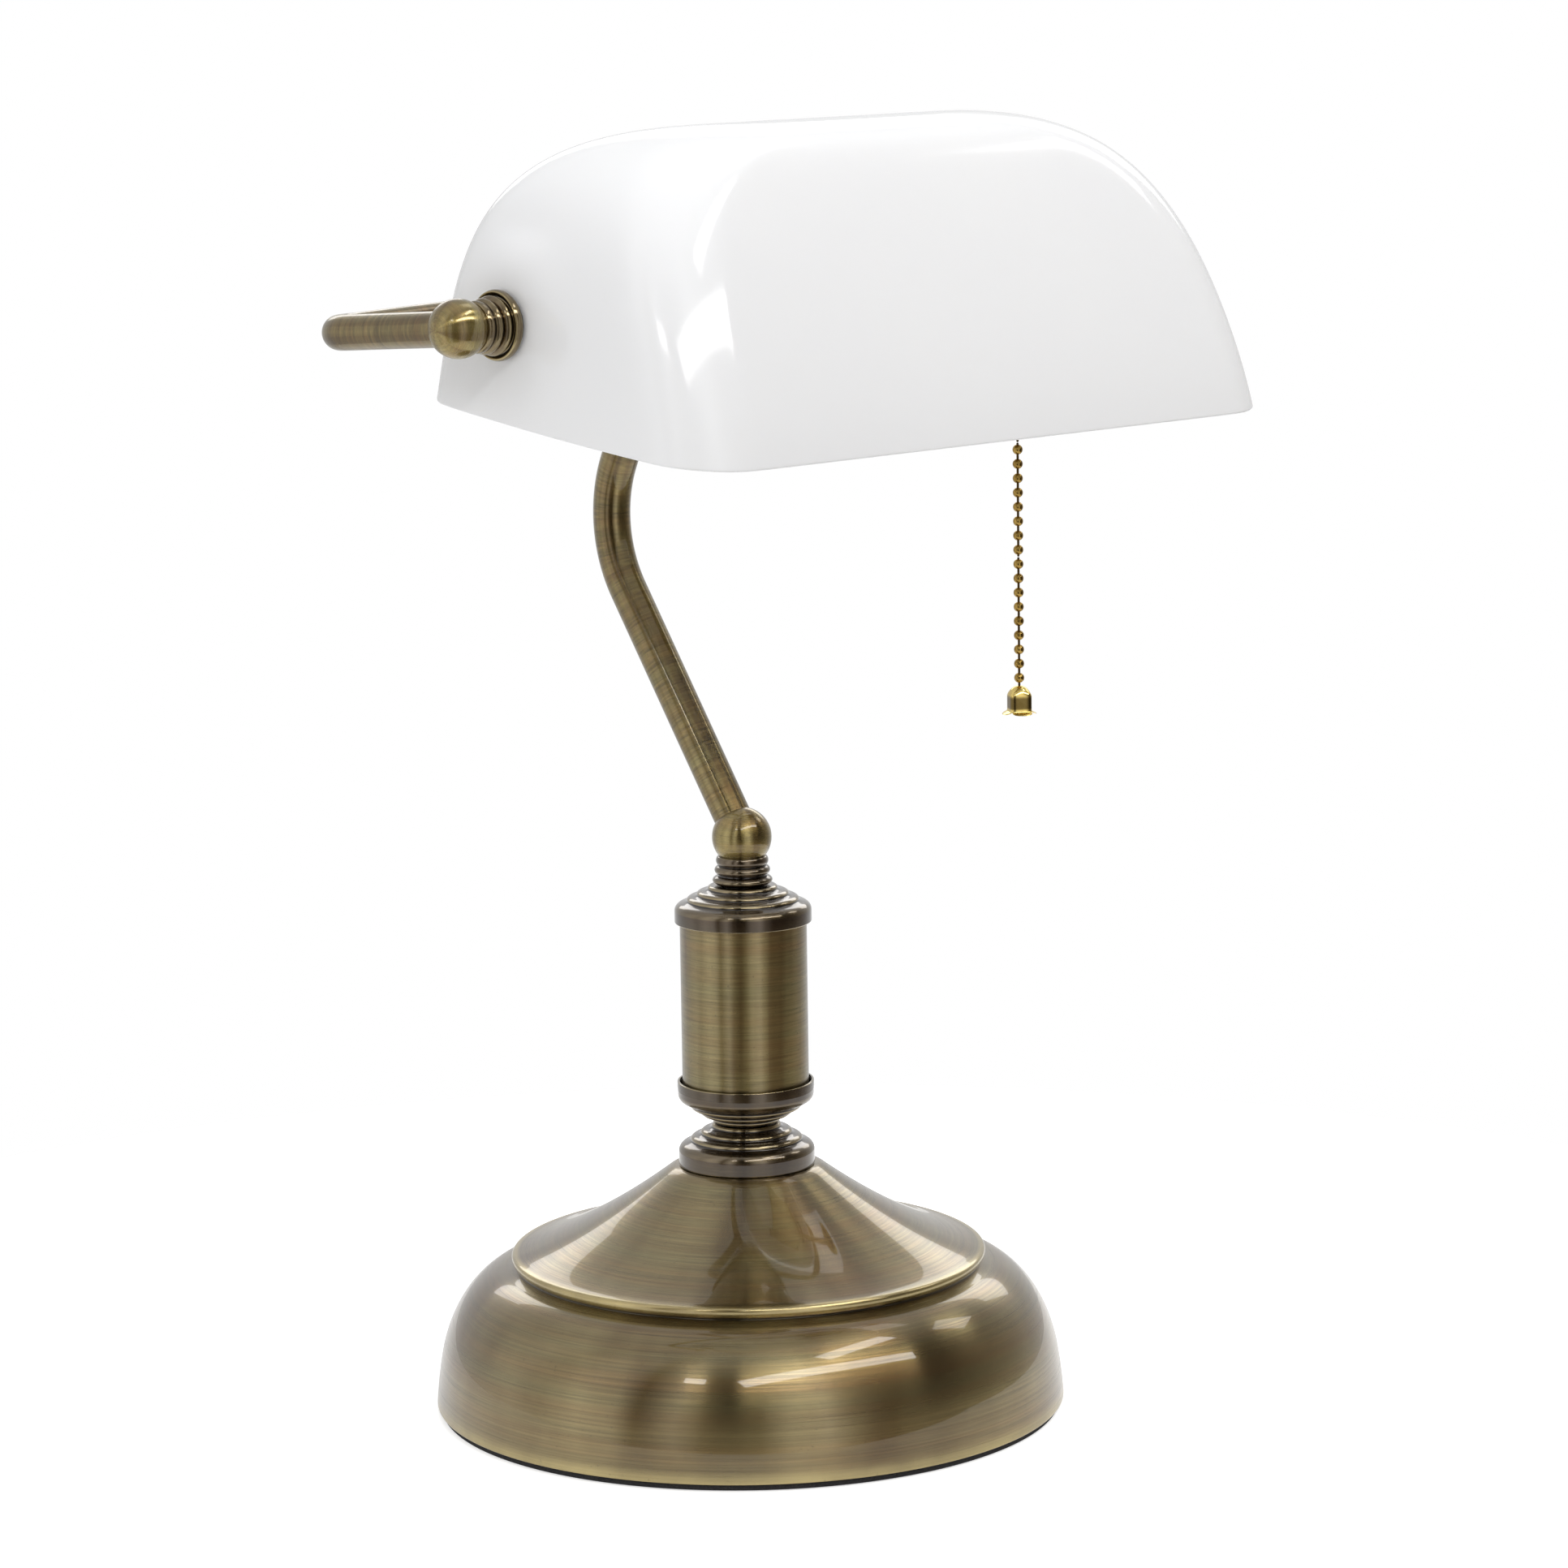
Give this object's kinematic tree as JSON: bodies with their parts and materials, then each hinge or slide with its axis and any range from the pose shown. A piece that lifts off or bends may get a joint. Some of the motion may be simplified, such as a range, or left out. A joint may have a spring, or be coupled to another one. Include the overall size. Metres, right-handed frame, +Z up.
{
  "type": "banker desk lamp",
  "caption": "Antique brass desk lamp with a weighted domed base, bent stem, U-shaped yoke, tilting opal glass shade and pull chain.",
  "frame": {"origin": "centre of the base's underside, on the column's axis", "axes": "+Z up along the column, +X along the shade's long side to the right as seen from the front, -Y towards the user (the shade's open front edge), +Y towards the yoke's back bar and the cord outlet"},
  "size_m": [0.2638, 0.1933, 0.3628],
  "materials": {
    "antique_brass": "antique, dull with brushed rings and rubbed edges",
    "polished_brass": "polished",
    "opal_glass": "glossy opal white, blown and fire polished",
    "bulb_glass": "frosted white",
    "zinc_steel": "zinc plated",
    "cast_iron": "as cast, painted black",
    "black_felt": "matte felt",
    "black_rubber": "matte",
    "phenolic": "moulded phenolic",
    "card_liner": "fibre board",
    "aluminium": "drawn, satin"
  },
  "bodies": {
    "stand": {"base_cover": "antique_brass", "base_neck_cap": "antique_brass", "column_cup": "antique_brass", "column_tube": "antique_brass", "column_cap": "antique_brass", "column_collar": "antique_brass", "column_ball": "antique_brass", "stem_tube": "antique_brass", "yoke_tube": "antique_brass", "left_end_ball": "antique_brass", "right_end_ball": "antique_brass", "left_collar": "antique_brass", "right_collar": "antique_brass", "left_flange": "antique_brass", "right_flange": "antique_brass", "socket_cap": "polished_brass", "socket_shell": "polished_brass", "centre_contact": "polished_brass", "chain_outlet": "polished_brass", "bottom_plate": "zinc_steel", "base_washer": "zinc_steel", "base_nut": "zinc_steel", "threaded_rod": "zinc_steel", "left_nipple": "zinc_steel", "right_nipple": "zinc_steel", "left_lock_nut": "zinc_steel", "right_lock_nut": "zinc_steel", "socket_bushing": "zinc_steel", "lever_pin": "zinc_steel", "base_weight": "cast_iron", "base_pad": "black_felt", "cord_grommet": "black_rubber", "bulb_glass": "bulb_glass", "bulb_base": "aluminium", "screw_shell": "aluminium", "switch_block": "phenolic", "insulating_liner": "card_liner"},
    "shade": {"glass_shade": "opal_glass", "left_outer_washer": "black_rubber", "right_outer_washer": "black_rubber", "left_inner_washer": "black_rubber", "right_inner_washer": "black_rubber"},
    "chain_top": {"chain_lead": "polished_brass"},
    "chain_a": {"chain_upper": "polished_brass"},
    "chain_b": {"chain_middle": "polished_brass"},
    "chain_c": {"chain_lower": "polished_brass"},
    "bell": {"pull_bell": "polished_brass"},
    "lever": {"pull_lever": "zinc_steel"}
  },
  "joints": [
    {"name": "shade_tilt", "type": "hinge", "parent": "stand", "child": "shade", "pos_m": [0, -0.0282, 0.3138], "axis": [1, 0, 0], "range_deg": [-30, 25]},
    {"name": "chain_pull", "type": "slide", "parent": "stand", "child": "chain_top", "axis": [0, 0, -1], "range_m": [0, 0.008], "stiffness_N_per_m": 600, "springref_m": -0.002},
    {"name": "lever_turn", "type": "hinge", "parent": "stand", "child": "lever", "pos_m": [0.0835, -0.0182, 0.3118], "axis": [1, 0, 0], "range_deg": [0, 40]},
    {"name": "chain_swing_a", "type": "hinge", "parent": "chain_top", "child": "chain_a", "pos_m": [0.0835, -0.0282, 0.28404], "axis": [1, 0, 0], "range_deg": [-15, 15]},
    {"name": "chain_swing_b", "type": "hinge", "parent": "chain_a", "child": "chain_b", "pos_m": [0.0835, -0.0282, 0.26772], "axis": [0, 1, 0], "range_deg": [-20, 20]},
    {"name": "chain_swing_c", "type": "hinge", "parent": "chain_b", "child": "chain_c", "pos_m": [0.0835, -0.0282, 0.23508], "axis": [1, 0, 0], "range_deg": [-20, 20]},
    {"name": "bell_swing", "type": "hinge", "parent": "chain_c", "child": "bell", "pos_m": [0.0835, -0.0282, 0.19838], "axis": [0, 1, 0], "range_deg": [-20, 20]}
  ],
  "couplings": [
    {"joint": "lever_turn", "follows": "chain_pull", "rad_per_m": 84}
  ]
}
